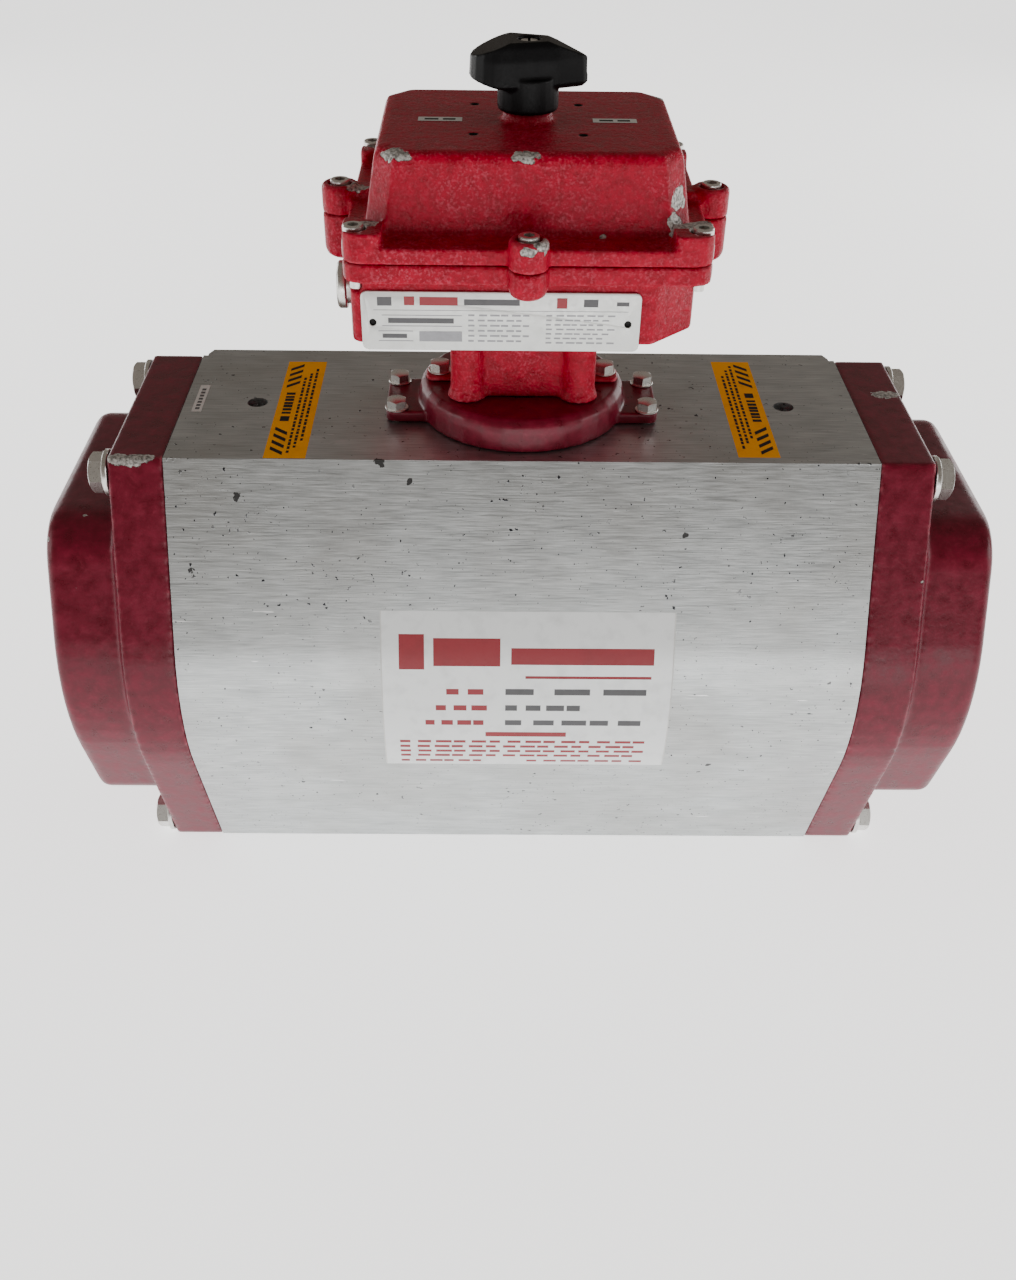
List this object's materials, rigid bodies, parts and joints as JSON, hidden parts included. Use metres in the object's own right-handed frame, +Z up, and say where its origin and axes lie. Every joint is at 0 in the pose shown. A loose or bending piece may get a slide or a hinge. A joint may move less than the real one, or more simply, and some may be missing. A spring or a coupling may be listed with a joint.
{
  "type": "rotary pneumatic actuator",
  "caption": "Spring-return rack and pinion rotary pneumatic actuator: brushed cylinder, red end caps, and a red position monitor box with a black pointer knob on top.",
  "frame": {"origin": "centre of the flat bottom mounting face, on the drive shaft's axis", "axes": "X along the cylinder, -Y towards the nameplate, Z up along the drive shaft"},
  "size_m": [0.518, 0.223, 0.462],
  "materials": {
    "brushed_body": "extruded aluminium, fine lines along the cylinder, small scratches",
    "cap_paint": "deep crimson gloss paint with light orange peel",
    "monitor_paint": "bright red gloss paint over rough cast metal, chipped at the corners",
    "stainless": "plain stainless fasteners",
    "dark_steel": "plated steel",
    "machined_steel": "machined steel",
    "spring_steel": "dark oiled spring steel",
    "piston_aluminium": "machined cast aluminium",
    "plate_metal": "satin metal plate",
    "bronze": "plain bearing bronze",
    "bearing_acetal": "off-white acetal",
    "seal_rubber": "black nitrile rubber",
    "knob_plastic": "black moulded plastic",
    "cam_plastic": "yellow moulded plastic",
    "switch_plastic": "dark grey moulded plastic"
  },
  "bodies": {
    "housing": {"cylinder_body": "brushed_body", "left_end_cap": "cap_paint", "left_cap_bolt_1": "stainless", "left_cap_bolt_2": "stainless", "left_cap_bolt_3": "stainless", "left_cap_bolt_4": "stainless", "left_outer_spring": "spring_steel", "left_inner_spring": "spring_steel", "top_plug_left": "dark_steel", "travel_stop_screw_left": "stainless", "stop_locknut_left": "stainless", "pedestal_bolt_left": "stainless", "right_end_cap": "cap_paint", "right_cap_bolt_1": "stainless", "right_cap_bolt_2": "stainless", "right_cap_bolt_3": "stainless", "right_cap_bolt_4": "stainless", "right_outer_spring": "spring_steel", "right_inner_spring": "spring_steel", "top_plug_right": "dark_steel", "travel_stop_screw_right": "stainless", "stop_locknut_right": "stainless", "pedestal_bolt_right": "stainless", "lower_bearing": "bearing_acetal", "upper_bearing": "bearing_acetal", "thrust_washer": "bronze", "adapter": "cap_paint", "adapter_bolt_1": "stainless", "adapter_bolt_2": "stainless", "adapter_bolt_3": "stainless", "adapter_bolt_4": "stainless", "monitor_housing": "monitor_paint", "monitor_cover": "monitor_paint", "cover_screw_1": "stainless", "cover_screw_2": "stainless", "cover_screw_3": "stainless", "cover_screw_4": "stainless", "cover_screw_5": "stainless", "cover_screw_6": "stainless", "cover_screw_7": "stainless", "cover_screw_8": "stainless", "limit_switches": "switch_plastic", "switch_bracket": "dark_steel", "conduit_plug": "stainless", "nameplate": "plate_metal"},
    "drive_shaft": {"pinion": "machined_steel", "snap_ring": "spring_steel", "shaft_coupler": "machined_steel", "monitor_shaft": "stainless", "lower_cam": "cam_plastic", "upper_cam": "cam_plastic", "pointer_knob": "knob_plastic", "knob_screw": "stainless"},
    "left_piston_body": {"left_piston": "piston_aluminium", "left_piston_seal": "seal_rubber", "left_guide_shoe": "bearing_acetal"},
    "right_piston_body": {"right_piston": "piston_aluminium", "right_piston_seal": "seal_rubber", "right_guide_shoe": "bearing_acetal"}
  },
  "joints": [
    {"name": "shaft_turn", "type": "hinge", "parent": "housing", "child": "drive_shaft", "pos_m": [0, 0, 0.136], "axis": [0, 0, 1], "range_deg": [0, 90]},
    {"name": "right_piston_slide", "type": "slide", "parent": "housing", "child": "right_piston_body", "axis": [1, 0, 0], "range_m": [0, 0.063], "deforming": ["right_outer_spring", "right_inner_spring"]},
    {"name": "left_piston_slide", "type": "slide", "parent": "housing", "child": "left_piston_body", "axis": [-1, 0, 0], "range_m": [0, 0.063], "deforming": ["left_outer_spring", "left_inner_spring"]}
  ],
  "couplings": [
    {"joint": "right_piston_slide", "follows": "shaft_turn", "m_per_rad": 0.04},
    {"joint": "left_piston_slide", "follows": "shaft_turn", "m_per_rad": 0.04}
  ]
}
